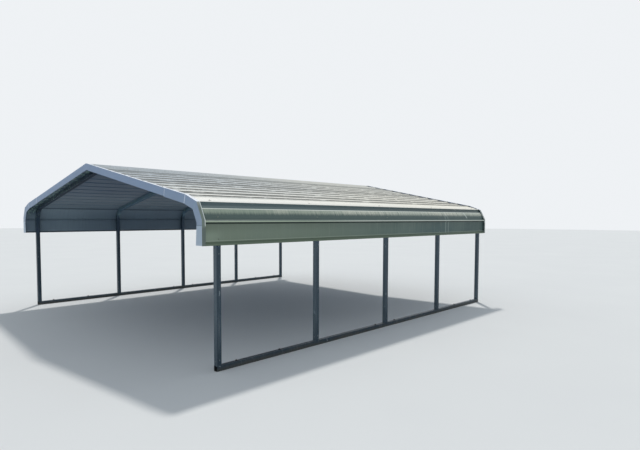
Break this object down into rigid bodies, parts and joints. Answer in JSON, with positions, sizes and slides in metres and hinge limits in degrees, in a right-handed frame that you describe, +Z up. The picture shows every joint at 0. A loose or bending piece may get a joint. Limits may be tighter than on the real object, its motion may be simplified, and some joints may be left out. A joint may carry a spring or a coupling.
{
  "type": "open carport",
  "caption": "Free-standing steel carport, open all round: square-tube frames on base rails under a low gable roof of lengthwise ribbed sheets that bend down over the eaves.",
  "frame": {"origin": "middle of the footprint at the floor, on the underside of the base rails", "axes": "+X to the right side seen from the front, +Y from the front end to the rear end along the ridge, +Z up"},
  "size_m": [5.6362, 6.2572, 2.3171],
  "materials": {
    "rail_tube": "galvanized square tube, weathered, dirty where it meets the ground",
    "leg_tube": "galvanized square tube, dull grey",
    "bow_tube": "galvanized square tube, dull grey",
    "inner_tube": "galvanized inner tube, hidden inside the frame tubes",
    "roof_sheet": "pale painted ribbed sheet, weathered, green-grey film towards the eaves",
    "end_trim": "white painted folded sheet, slightly soiled"
  },
  "bodies": {
    "root": {"base_rail_left": "rail_tube", "base_rail_right": "rail_tube", "leg_stubs": "inner_tube", "leg_sleeves": "inner_tube", "peak_sleeves": "inner_tube", "leg_left_1": "leg_tube", "leg_left_2": "leg_tube", "leg_left_3": "leg_tube", "leg_left_4": "leg_tube", "leg_left_5": "leg_tube", "leg_right_1": "leg_tube", "leg_right_2": "leg_tube", "leg_right_3": "leg_tube", "leg_right_4": "leg_tube", "leg_right_5": "leg_tube", "bow_left_1": "bow_tube", "bow_left_2": "bow_tube", "bow_left_3": "bow_tube", "bow_left_4": "bow_tube", "bow_left_5": "bow_tube", "bow_right_1": "bow_tube", "bow_right_2": "bow_tube", "bow_right_3": "bow_tube", "bow_right_4": "bow_tube", "bow_right_5": "bow_tube", "roof_sheet_ridge": "roof_sheet", "roof_sheet_left_upper": "roof_sheet", "roof_sheet_left_middle": "roof_sheet", "roof_sheet_left_eave": "roof_sheet", "roof_sheet_right_upper": "roof_sheet", "roof_sheet_right_middle": "roof_sheet", "roof_sheet_right_eave": "roof_sheet", "trim_front_left_slope": "end_trim", "trim_front_left_eave": "end_trim", "trim_front_right_slope": "end_trim", "trim_front_right_eave": "end_trim", "trim_rear_left_slope": "end_trim", "trim_rear_left_eave": "end_trim", "trim_rear_right_slope": "end_trim", "trim_rear_right_eave": "end_trim"}
  },
  "joints": []
}
